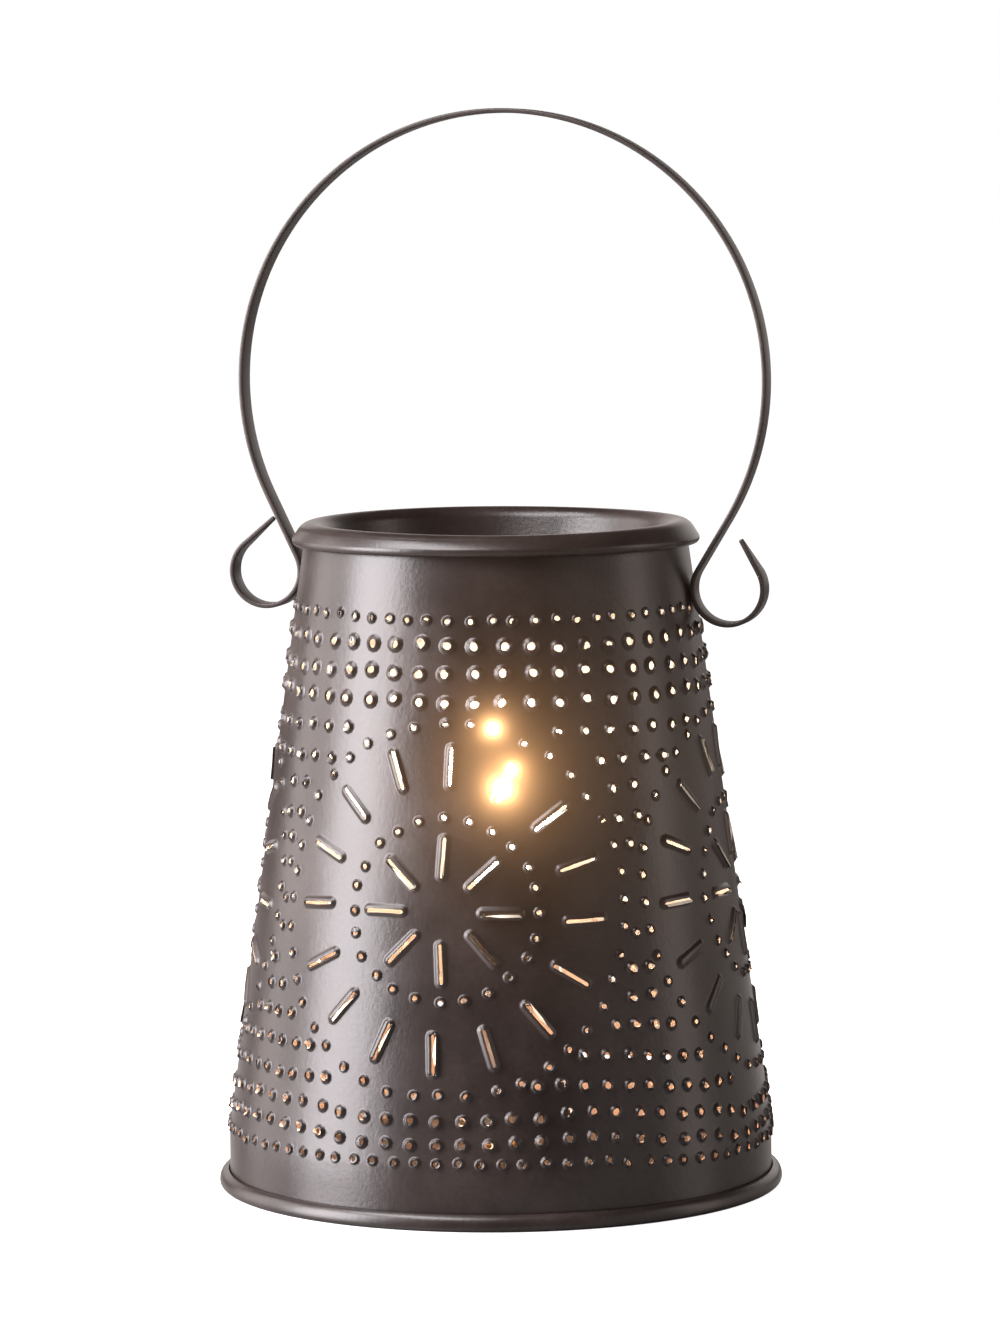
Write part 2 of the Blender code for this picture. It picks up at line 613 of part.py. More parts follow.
def build_bulb(base, glass, cap_metal, black_glass, solder, steel, tungsten):
    """Bulb standing on its contact at height base, turning on the lantern's axis."""
    button_top = base + CAP_BUTTON_HEIGHT
    button = [(0.0, base), (CAP_BUTTON_FACE, base), (CAP_BUTTON_RADIUS, base + CAP_BUTTON_DOME)]
    button += [(CAP_BUTTON_RADIUS, button_top - SEAT_GAP), (0.0, button_top - SEAT_GAP)]
    turned("cap_contact", button, SMALL_SEGMENTS, solder)
    cap_low = button_top + INSULATOR_HEIGHT
    edge = CAP_RADIUS - CAP_SHEET
    disc = [(0.0, button_top), (INSULATOR_NECK_RADIUS, button_top), (edge, cap_low - SEAT_GAP - INSULATOR_RIM)]
    disc += [(edge, cap_low - SEAT_GAP), (0.0, cap_low - SEAT_GAP)]
    turned("cap_insulator", disc, SMALL_SEGMENTS, black_glass)
    cap_high = cap_low + CAP_LENGTH
    turned("bulb_cap", ring_outline(edge, CAP_RADIUS, cap_low, cap_high), SMALL_SEGMENTS, cap_metal)
    foot = cap_low + 2 * SEAT_GAP
    turned("bulb_glass", glass_outline(foot, base), GLASS_SEGMENTS, glass)
    flare = edge - SEAT_GAP - GLASS - SEAT_GAP
    press = base + PRESS_HEIGHT
    stem = [(0.0, foot), (flare, foot), (flare, foot + GLASS), (PRESS_RADIUS, foot + 2 * flare)]
    stem += [(PRESS_RADIUS, press - PRESS_RADIUS), (0.0, press)]
    turned("glass_stem", stem, SMALL_SEGMENTS, glass)
    low, high = base + FILAMENT_LOW, base + FILAMENT_HIGH
    beside = PRESS_RADIUS + LEAD_RADIUS + SEAT_GAP
    behind = FILAMENT_RADIUS + SUPPORT_RADIUS + SEAT_GAP
    hook = high + FILAMENT_RADIUS + SUPPORT_RADIUS + SEAT_GAP
    for name, side in (("left", -1), ("right", 1)):
        route = [(side * beside, 0, press - PRESS_LENGTH), (side * beside, 0, press)]
        route.append((side * LEAD_SPREAD, 0, low - SEAT_GAP - FILAMENT_RADIUS))
        wire(f"lead_wire_{name}", route, LEAD_RADIUS, steel)
        route = [(side * SUPPORT_FOOT, behind, press + SEAT_GAP)]
        route += [(side * FILAMENT_SPREAD, behind, hook), (side * FILAMENT_SPREAD, -behind, hook)]
        wire(f"support_wire_{name}", route, SUPPORT_RADIUS, steel)
    bends = [(-LEAD_SPREAD, low), (-FILAMENT_SPREAD, high), (0.0, low), (FILAMENT_SPREAD, high), (LEAD_SPREAD, low)]
    wire("filament", [(x, 0.0, z) for x, z in bends], FILAMENT_RADIUS, tungsten)


def main():
    clear_scene()
    tin = finish("dark_painted_tin", (0.055, 0.045, 0.043), 0.38, 0.3)
    strap = finish("dark_painted_strap", (0.075, 0.062, 0.055), 0.42, 0.3)
    rubber = finish("black_rubber", (0.015, 0.015, 0.015), 0.75, 0.0)
    steel = finish("zinc_plated_steel", (0.56, 0.56, 0.55), 0.35, 1.0)
    brass = finish("brass", (0.72, 0.52, 0.22), 0.32, 1.0)
    phenolic = finish("black_phenolic", (0.02, 0.019, 0.018), 0.4, 0.0)
    glass = finish("clear_glass", (0.95, 0.95, 0.95), 0.03, 0.0)
    cap_metal = finish("nickelled_brass", (0.7, 0.66, 0.56), 0.28, 1.0)
    black_glass = finish("black_glass", (0.01, 0.01, 0.012), 0.15, 0.0)
    solder = finish("solder", (0.6, 0.6, 0.6), 0.4, 1.0)
    tungsten = finish("tungsten", (1.0, 0.72, 0.4), 0.5, 0.8)
    build_wall(tin)
    build_pan(tin)
    build_dish(tin)
    build_handle(strap)
    build_grommet(rubber)
    build_stem(steel, brass)
    crown = build_holder(steel, phenolic, brass)
    build_bulb(crown + SEAT_GAP, glass, cap_metal, black_glass, solder, steel, tungsten)


main()
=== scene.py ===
import math
import random

import bmesh
import bpy
from mathutils import Matrix, Vector, kdtree
from mathutils.geometry import delaunay_2d_cdt, interpolate_bezier


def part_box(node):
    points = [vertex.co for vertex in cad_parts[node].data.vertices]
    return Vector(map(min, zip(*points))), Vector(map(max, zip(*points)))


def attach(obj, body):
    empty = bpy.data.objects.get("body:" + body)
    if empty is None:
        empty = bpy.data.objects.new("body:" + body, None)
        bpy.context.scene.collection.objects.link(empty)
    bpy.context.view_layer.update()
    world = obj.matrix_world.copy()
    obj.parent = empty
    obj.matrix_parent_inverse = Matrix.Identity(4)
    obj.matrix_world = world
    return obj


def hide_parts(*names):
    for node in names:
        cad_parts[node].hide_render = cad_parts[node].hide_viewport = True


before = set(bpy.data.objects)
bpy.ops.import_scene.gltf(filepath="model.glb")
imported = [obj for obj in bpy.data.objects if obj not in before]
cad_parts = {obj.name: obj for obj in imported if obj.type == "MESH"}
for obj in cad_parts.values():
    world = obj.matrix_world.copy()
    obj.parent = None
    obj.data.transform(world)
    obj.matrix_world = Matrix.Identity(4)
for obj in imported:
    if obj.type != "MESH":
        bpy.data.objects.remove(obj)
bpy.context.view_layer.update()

# Punched tin lantern: the looks. Metres, +Z up, the front medallion faces -Y.
# Lengths of the pieces are in millimetres, lengths of the studio in metres, angles in degrees.
mm = 0.001
weld = 0.01 * mm  # points nearer than this become one
fineWeld = 0.001 * mm  # the same for turned profiles
creaseAngle = 40  # for a piece without an angle of its own
fullTurn = 2 * math.pi
scene = bpy.context.scene


# Shader sums are written as plain arithmetic on a socket
class Signal:
    def __init__(self, wiring, socket):
        self.wiring = wiring
        self.socket = socket

    def maths(self, operation, first, second):
        return self.wiring.node("ShaderNodeMath", {"operation": operation}, {0: first, 1: second})

    def __add__(self, other):
        return self.maths("ADD", self, other)

    def __radd__(self, other):
        return self.maths("ADD", other, self)

    def __sub__(self, other):
        return self.maths("SUBTRACT", self, other)

    def __rsub__(self, other):
        return self.maths("SUBTRACT", other, self)

    def __mul__(self, other):
        return self.maths("MULTIPLY", self, other)

    def __rmul__(self, other):
        return self.maths("MULTIPLY", other, self)


class Wiring:
    def __init__(self, tree):
        self.tree = tree

    def node(self, kind, settings=None, sockets=None, output=0):
        made = self.tree.nodes.new(kind)
        for key, value in (settings or {}).items():
            if key == "stops":
                self.setRamp(made.color_ramp, value)
            else:
                setattr(made, key, value)
        for key, value in (sockets or {}).items():
            self.feed(made.inputs[key], value)
        return Signal(self, made.outputs[output]) if made.outputs else None

    def setRamp(self, ramp, stops):
        while len(ramp.elements) < len(stops):
            ramp.elements.new(0.5)
        for element, (place, colour) in zip(ramp.elements, stops):
            element.position = place
            element.color = (*colour, 1)

    def feed(self, socket, value):
        if isinstance(value, Signal):
            self.tree.links.new(value.socket, socket)
        elif isinstance(value, (tuple, list)) and socket.type == "RGBA":
            socket.default_value = (*value, 1)
        else:
            socket.default_value = value


class Finish(Wiring):
    def __init__(self, name):
        self.material = bpy.data.materials.new(name)
        self.material.use_nodes = True
        super().__init__(self.material.node_tree)
        self.shader = self.tree.nodes["Principled BSDF"]

    def surface(self, sockets):
        for key, value in sockets.items():
            self.feed(self.shader.inputs[key], value)

    def place(self):
        return self.node("ShaderNodeTexCoord", output="Object")

    def noise(self, scale, detail, roughness):
        sockets = {"Vector": self.place(), "Scale": scale, "Detail": detail, "Roughness": roughness}
        return self.node("ShaderNodeTexNoise", {}, sockets)

    def blend(self, factor, first, second):
        return self.node("ShaderNodeMix", {"data_type": "RGBA"}, {"Factor": factor, 6: first, 7: second}, 2)

    def ramp(self, factor, stops):
        return self.node("ShaderNodeValToRGB", {"stops": stops}, {"Fac": factor})

    def bump(self, height):
        return self.node("ShaderNodeBump", {}, {"Height": height, "Distance": 1.0, "Strength": 1.0})


def emptyWiring(owner):
    owner.use_nodes = True
    owner.node_tree.nodes.clear()
    return Wiring(owner.node_tree)


# Camera, at the photograph's height and angle
cameraSetup = {
    "azimuth": 13.4,  # to the right of the front medallion
    "distance": 1.5222,
    "height": 0.2835,
    "pitch": 5.18,  # downwards
    "roll": -0.476,
    "lens": 147.3,
    "shift": 0.0024,
}


def placeCamera(setup):
    data = bpy.data.cameras.new("studioCamera")
    data.lens = setup["lens"]
    data.shift_x = setup["shift"]
    camera = bpy.data.objects.new("studioCamera", data)
    scene.collection.objects.link(camera)
    turn = math.radians(setup["azimuth"])
    place = Vector((math.sin(turn), -math.cos(turn), 0)) * setup["distance"]
    place.z = setup["height"]
    aim = Matrix.Rotation(turn, 4, "Z") @ Matrix.Rotation(math.radians(90 - setup["pitch"]), 4, "X")
    roll = Matrix.Rotation(math.radians(setup["roll"]), 4, "Z")
    camera.matrix_world = Matrix.Translation(place) @ aim @ roll
    scene.camera = camera


# Studio: soft boxes left and right, a weak backdrop and a pale floor in a white surround
studio = {
    "surroundSeen": (1.0, 1.0, 1.0),
    "surroundLight": (0.045, 0.0372, 0.0347),
    "floorSize": 30.0,
    "floorDrop": 0.00005,
    "floorColour": (0.86, 0.86, 0.86),
    "floorShade": (0.30, 0.29, 0.28),  # what the lantern itself sees of the floor
    # the paper's own light, by nearness to the lantern: 0 is a metre away
    "floorGlow": [(0.55, (1.0, 1.0, 1.0)), (0.85, (0.93, 0.93, 0.93))],
    "floorRoughness": 0.07,
    "floorSpecular": 1.0,
    # azimuth from the camera's direction, height angle, distance, width, tall, watts, colour
    "lights": {
        "leftSoftBox": (-73, 7, 1.1, 0.68, 1.2, 50.0, (0.98, 0.96, 1.0)),
        "farLeftBox": (-114, 11, 1.2, 0.62, 1.1, 8.0, (1.0, 0.95, 0.94)),
        "upperLeftBox": (-57, 57, 1.2, 1.0, 0.5, 24.0, (0.99, 0.97, 1.0)),
        "frontRightFill": (54, 8, 1.3, 1.0, 0.9, 1.5, (1.0, 0.90, 0.85)),
        "rightSoftBox": (87, 11, 1.2, 0.34, 1.0, 2.9, (1.0, 0.89, 0.84)),
        "farRightBox": (120, 2, 1.3, 1.0, 0.7, 1.2, (1.0, 0.88, 0.82)),
        "backdrop": (178, 12, 1.6, 2.2, 0.7, 6.0, (1.0, 0.92, 0.88)),
    },
    "aim": (0.0, 0.0, 0.12),
}


def lightStudio(setup):
    world = bpy.data.worlds.new("studioWorld")
    scene.world = world
    sky = emptyWiring(world)
    seen = sky.node("ShaderNodeBackground", {}, {"Color": setup["surroundSeen"]})
    lit = sky.node("ShaderNodeBackground", {}, {"Color": setup["surroundLight"]})
    cameraRay = sky.node("ShaderNodeLightPath", output="Is Camera Ray")
    mixed = sky.node("ShaderNodeMixShader", {}, {"Fac": cameraRay, 1: lit, 2: seen})
    sky.node("ShaderNodeOutputWorld", {}, {"Surface": mixed})
    aim = Vector(setup["aim"])
    for name, (azimuth, height, distance, width, tall, watts, colour) in setup["lights"].items():
        data = bpy.data.lights.new(name, "AREA")
        data.shape = "RECTANGLE"
        data.size, data.size_y = width, tall
        data.energy = watts
        data.color = colour
        box = bpy.data.objects.new(name, data)
        turn = math.radians(cameraSetup["azimuth"] + azimuth)
        rise = math.radians(height)
        side = Vector((math.sin(turn) * math.cos(rise), -math.cos(turn) * math.cos(rise), math.sin(rise)))
        box.location = aim + side * distance
        box.rotation_euler = (-side).to_track_quat("-Z", "Y").to_euler()
        box.visible_camera = False
        scene.collection.objects.link(box)
    layFloor(setup)


def layFloor(setup):
    bm = bmesh.new()
    bmesh.ops.create_grid(bm, x_segments=1, y_segments=1, size=setup["floorSize"] / 2)
    bmesh.ops.translate(bm, verts=bm.verts, vec=(0, 0, -setup["floorDrop"]))
    mesh = bpy.data.meshes.new("studioFloor")
    bm.to_mesh(mesh)
    bm.free()
    floor = bpy.data.objects.new("studioFloor", mesh)
    scene.collection.objects.link(floor)
    paper = Finish("studioPaper")
    sphere = {"gradient_type": "SPHERICAL"}
    near = paper.node("ShaderNodeTexGradient", sphere, {"Vector": paper.place()}, "Fac")
    glow = paper.ramp(near, setup["floorGlow"])
    seen = paper.node("ShaderNodeLightPath", output="Is Camera Ray")
    paper.surface({
        "Base Color": paper.blend(seen, setup["floorShade"], setup["floorColour"]),
        "Emission Color": paper.blend(seen, (0, 0, 0), glow),
        "Emission Strength": 1.0,
        "Roughness": setup["floorRoughness"],
        "Specular IOR Level": setup["floorSpecular"],
    })
    mesh.materials.append(paper.material)


# Finishes. A noise is given by its scale per metre, detail and roughness; depths are in metres.
tinFinish = {
    "shade": (0.0140, 0.0092, 0.0080),
    "body": (0.0250, 0.0168, 0.0147),
    "rubbed": (0.043, 0.0302, 0.0266),
    "places": (0.30, 0.52, 0.74),  # of the three colours in the cloud
    "metallic": 0.15,
    "roughness": 0.33,
    "roughnessSpread": 0.16,
    "cloud": (38.0, 4.0, 0.6),
    "grain": (760.0, 3.0, 0.6),  # orange peel
    "grainShare": 0.25,
    "grainDepth": 0.00006,
    "dents": (30.0, 1.0, 0.4),
    "dentDepth": 0.00020,
}
strapFinish = {
    **tinFinish,
    "body": (0.034, 0.0245, 0.0205),
    "rubbed": (0.058, 0.044, 0.036),
    "roughness": 0.46,
    "grainDepth": 0.00002,
}
insideFinish = {
    "cloud": (60.0, 3.0, 0.6),
    "wander": 0.5,
    # height in units of 100 mm, colour: painted lamplight, brighter and more copper towards the bottom to
    # stand in for the lamp's light there
    "stops": [(0.25, (0.92, 0.63, 0.43)), (0.75, (0.72, 0.60, 0.47)), (1.0, (0.64, 0.59, 0.51))],
    "metallic": 0.2,
    "roughness": 0.5,
    "roughnessSpread": 0.2,
}
plainFinish = {
    "cloud": (120.0, 3.0, 0.6),
    "grainForm": (2.0, 0.5),
    "darker": 0.72,
    "roughnessSpread": 0.22,
}
glassFinish = {
    "colour": (0.92, 0.95, 0.95),
    "roughness": 0.03,
    "alpha": 0.05,
    "edgeAlpha": 0.35,
    "edgeBlend": 0.35,
    "bending": 1.5,
}


def darkTin(name, setup):
    finish = Finish(name)
    cloud = finish.noise(*setup["cloud"])
    grain = finish.noise(*setup["grain"])
    dents = finish.noise(*setup["dents"])
    share = setup["grainShare"]
    stops = list(zip(setup["places"], (setup["shade"], setup["body"], setup["rubbed"])))
    finish.surface({
        "Base Color": finish.ramp(cloud * (1 - share) + grain * share, stops),
        "Metallic": setup["metallic"],
        "Roughness": setup["roughness"] + (cloud - 0.5) * setup["roughnessSpread"],
        "Normal": finish.bump(grain * setup["grainDepth"] + dents * setup["dentDepth"]),
    })
    return finish.material


def warmInside(setup):
    finish = Finish("warmInside")
    cloud = finish.noise(*setup["cloud"])
    # Painted lamplight: the colour gets brighter and more copper towards the bottom of the wall
    height = finish.node("ShaderNodeSeparateXYZ", {}, {0: finish.place()}, "Z") * 10
    finish.surface({
        "Base Color": finish.ramp(height + (cloud - 0.5) * setup["wander"], setup["stops"]),
        "Metallic": setup["metallic"],
        "Roughness": setup["roughness"] + (cloud - 0.5) * setup["roughnessSpread"],
    })
    return finish.material


def plainMaterial(name, setup, colour, roughness, metallic, grain, depth):
    finish = Finish(name)
    cloud = finish.noise(*setup["cloud"])
    fine = finish.noise(grain, *setup["grainForm"])
    darker = tuple(channel * setup["darker"] for channel in colour)
    finish.surface({
        "Base Color": finish.blend(cloud, darker, colour),
        "Metallic": metallic,
        "Roughness": roughness + (cloud - 0.5) * setup["roughnessSpread"],
        "Normal": finish.bump(fine * depth),
    })
    return finish.material


def clearGlass(setup):
    finish = Finish("clearGlass")
    edge = finish.node("ShaderNodeLayerWeight", {}, {"Blend": setup["edgeBlend"]}, "Facing")
    finish.surface({
        "Base Color": setup["colour"],
        "Roughness": setup["roughness"],
        "Alpha": setup["alpha"] + edge * setup["edgeAlpha"],
        "IOR": setup["bending"],
    })
    return finish.material


# Helpers that turn a bmesh into a piece of the lantern
def makePiece(name, bm, materials, body, replaced):
    mesh = bpy.data.meshes.new(name)
    bm.to_mesh(mesh)
    bm.free()
    for material in materials:
        mesh.materials.append(material)
    shadeSmooth(mesh, creaseAngle)
    piece = bpy.data.objects.new(name, mesh)
    scene.collection.objects.link(piece)
    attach(piece, body)
    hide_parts(*replaced)
    return piece


def shadeSmooth(mesh, sharp):
    mesh.shade_smooth()
    mesh.set_sharp_from_angle(angle=math.radians(sharp))


def thicken(piece, sheet, offset=0, innerMaterial=0):
    thickness = piece.modifiers.new("sheet", "SOLIDIFY")
    thickness.thickness = sheet * mm
    thickness.offset = offset
    thickness.material_offset = innerMaterial


def applyModifiers(piece, sharp):
    graph = bpy.context.evaluated_depsgraph_get()
    finished = bpy.data.meshes.new_from_object(piece.evaluated_get(graph))
    piece.modifiers.clear()
    piece.data = finished
    shadeSmooth(finished, sharp)


def ramped(value, start, reach):
    # 0 at the start, 1 once the reach is passed
    return min(max((value - start) / reach, 0.0), 1.0)


def arcPoints(centre, radius, start, end, steps):
    turns = [start + (end - start) * i / steps for i in range(steps + 1)]
    return [(centre[0] + radius * math.cos(a), centre[1] + radius * math.sin(a)) for a in turns]


def touchAngle(first, firstRadius, second, secondRadius, side, crossed):
    # Where a straight line that touches both circles leaves the first one
    across = Vector(second) - Vector(first)
    reach = firstRadius + secondRadius if crossed else firstRadius - secondRadius
    return math.atan2(across.y, across.x) + side * math.acos(reach / across.length)


def spinProfile(profile, segments):
    bm = bmesh.new()
    points = [bm.verts.new((r * mm, 0, z * mm)) for r, z in profile]
    edges = [bm.edges.new(pair) for pair in zip(points, points[1:])]
    bmesh.ops.spin(
        bm, geom=points + edges, cent=(0, 0, 0), axis=(0, 0, 1), angle=fullTurn, steps=segments,
        use_merge=True,
    )
    bmesh.ops.remove_doubles(bm, verts=bm.verts, dist=fineWeld)
    bmesh.ops.dissolve_degenerate(bm, edges=bm.edges, dist=fineWeld)
    bmesh.ops.recalc_face_normals(bm, faces=bm.faces)
    return bm


def turnUp(bm, above=0.0):
    # An open bowl has no outside of its own: its floor looks up
    floor = [face for face in bm.faces if face.calc_center_median().z > above * mm]
    if sum(face.normal.z * face.calc_area() for face in floor) < 0:
        bmesh.ops.reverse_faces(bm, faces=bm.faces)


# Wall: marks are laid out on the flat sheet, raised, opened and then rolled up
wall = {
    "baseRadius": 76.4,
    "topRadius": 53.04,
    "knee": 16.0,
    "height": 186.0,
    "foot": 0.9,
    "sheet": 0.5,
    "columns": 130,
    "rowStep": 5.0,
    "footRows": (5.0, 10.0),
    "clearOfMarks": 1.3,  # from a mark to the sheet's own points
    "clearOfSeam": 1.0,  # from the seam to them, in degrees
    "mergeBelow": 0.00001,  # points of the flat sheet nearer than this are one
    "sharp": 50,
    "seam": 222.8,  # from the front medallion
    "seamRoom": (3.4, 60.0),  # without marks on either side, on a wall of this radius
    "curlRoom": (90.0, 6.0, 161.0),  # no marks under the right foot: angle, to either side, lowest height
    "mouthDrop": (176.0, 9.0),  # the rim starts to follow the sloping mouth here, and does fully after this
    "seed": 11,
    "pattern": {
        "centre": 85.3,
        "medallions": (0.0, 93.7, 180.0, -94.3),
        # count, reach across, reach up, angle from the top of the first mark
        "innerSlots": (8, 16.0, 14.3, 0.0),
        "outerSlots": (16, 39.4, 38.8, 2.2),
        "innerRing": (24, 26.4, 24.8, 0.0),
        "outerRing": (42, 51.4, 50.4, -0.9),
        # marks that the hand set off their ring, by number: across, up
        "strays": {
            ("outerSlots", 1): (0.1, -0.6), ("outerRing", 2): (-1.6, 0.6), ("outerSlots", 15): (0.3, 1.3),
        },
        # slots that did not break through: medallion, ring, number
        "blind": {(93.7, "outerSlots", 9), (93.7, "outerSlots", 10), (93.7, "outerSlots", 11)},
        # height, count, wander, dip under each medallion, kind
        "rows": (
            (164.2, 60, 0.4, 0.0, "small"),
            (157.3, 48, 0.6, 0.0, "big"),
            (149.9, 48, 0.7, 0.0, "big"),
            (142.2, 48, 0.7, 0.0, "big"),
            (31.6, 66, 0.5, 2.6, "medium"),
            (24.8, 66, 0.4, 2.1, "medium"),
            (18.0, 80, 0.3, 0.0, "small"),
        ),
        "rowWaves": (2, 7),  # fewest and most waves round the lantern
        "dipWidth": 0.14,  # a dip reaches so far from a medallion's middle, as 1 - cosine
        # between two medallions: height, count, angle apart, kind
        "spandrel": (
            (133.5, 8, 7.2, "medium"),
            (125.0, 5, 6.8, "medium"),
            (117.3, 4, 6.0, "medium"),
            (109.0, 2, 6.0, "medium"),
            (102.0, 1, 0.0, "medium"),
            (94.8, 1, 0.0, "small"),
            (85.2, 1, 0.0, "small"),
            (77.6, 1, 0.0, "small"),
            (68.5, 2, 4.6, "medium"),
            (61.8, 2, 5.4, "medium"),
            (54.5, 4, 4.9, "medium"),
            (46.8, 7, 5.0, "medium"),
            (38.8, 11, 5.1, "medium"),
        ),
        # the low rows sag to the right of the front: depth, middle and half width
        "sag": (4.2, 72.0, 50.0),
        "sagFrom": (64.0, 14.0),  # rows start to sag below this height, and sag fully this far down
        "sagFoot": 24.0,  # below this height the foot holds the rows up
        "mouthDrop": (115.0, 30.0),  # rows start to follow the sloping mouth here, and do fully after this
        "jitter": 0.28,  # how far the hand misses a mark's place
        "slotJitter": 0.15,
        "slotTilt": 0.04,  # radians
        "overlap": 0.35,  # two marks may run into each other this far
        "farApart": 12.0,  # marks with more room than this between them never meet
    },
    # corners, half length, half width, then each step's way in and rise: a flat ring first, then the dome
    "punches": {
        "big": (11, 0.0, 2.60, ((0.20, 0.0), (0.30, 0.12), (0.38, 0.34), (0.34, 0.34), (0.20, 0.10))),
        "medium": (10, 0.0, 2.30, ((0.16, 0.0), (0.24, 0.12), (0.30, 0.38), (0.24, 0.32), (0.12, 0.08))),
        "small": (10, 0.0, 1.95, ((0.14, 0.0), (0.22, 0.12), (0.28, 0.36), (0.20, 0.24))),
        "slot": (20, 4.95, 2.10, ((0.20, 0.0), (0.28, 0.12), (0.42, 0.40), (0.38, 0.30), (0.28, 0.12))),
        "blindSlot": (20, 4.95, 2.10, ((0.20, 0.0), (0.28, 0.12), (0.42, 0.40), (0.38, 0.26), (0.40, 0.10))),
    },
    # burst edges; sizes and lengths are shares of the punch's own opening, unless in millimetres
    "tears": {
        "uneven": 0.13,
        "unevenLeast": 0.4,
        "threeSided": 0.4,
        "holeSize": (0.92, 1.2),
        "tongueShare": 0.16,  # share of the dots whose hole is half closed by a tongue of metal
        "tongueLength": (1.0, 0.25),
        "tonguePower": 0.7,  # the smaller, the broader the tongue
        "edgeWave": 0.08,  # mm
        "tongueSink": (0.25, 0.7),  # mm, where the hole is smaller than this
        "slotWander": 0.12,  # mm
        "slotLean": (0.15, 0.45),  # mm
        "slotSink": 0.5,  # share of the lean
    },
}
pattern, punches, tears = wall["pattern"], wall["punches"], wall["tears"]


class Cone:
    # The wall's cone and its flat sheet, whose middle is the cone's point. Lengths in millimetres.
    def __init__(self, size):
        self.size = size
        slope = (size["baseRadius"] - size["topRadius"]) / (size["height"] - size["knee"])
        self.lean = math.atan(slope)
        self.kneeReach = size["baseRadius"] / math.sin(self.lean)

    def flat(self, degrees, height):
        reach = self.kneeReach - (height - self.size["knee"]) / math.cos(self.lean)
        turn = math.radians(degrees) * math.sin(self.lean)
        return Vector((reach * math.sin(turn), -reach * math.cos(turn)))

    def besideMedallion(self, degrees, across, up):
        turn = math.radians(degrees) * math.sin(self.lean)
        sideways = Vector((math.cos(turn), math.sin(turn)))
        upwards = Vector((-math.sin(turn), math.cos(turn)))
        return self.flat(degrees, pattern["centre"]) + sideways * across + upwards * up

    def rolled(self, point):
        reach = math.hypot(point.x, point.y)
        turn = math.atan2(point.x, -point.y) / math.sin(self.lean)
        down = reach - self.kneeReach
        if down < 0:
            radius = reach * math.sin(self.lean) + point.z * math.cos(self.lean)
            height = self.size["knee"] - down * math.cos(self.lean) + point.z * math.sin(self.lean)
        else:
            radius = self.size["baseRadius"] + point.z
            height = self.size["knee"] - down
        return Vector((radius * math.sin(turn), -radius * math.cos(turn), height)) * mm

    def degrees(self, point):
        return math.degrees(math.atan2(point.x, -point.y) / math.sin(self.lean))


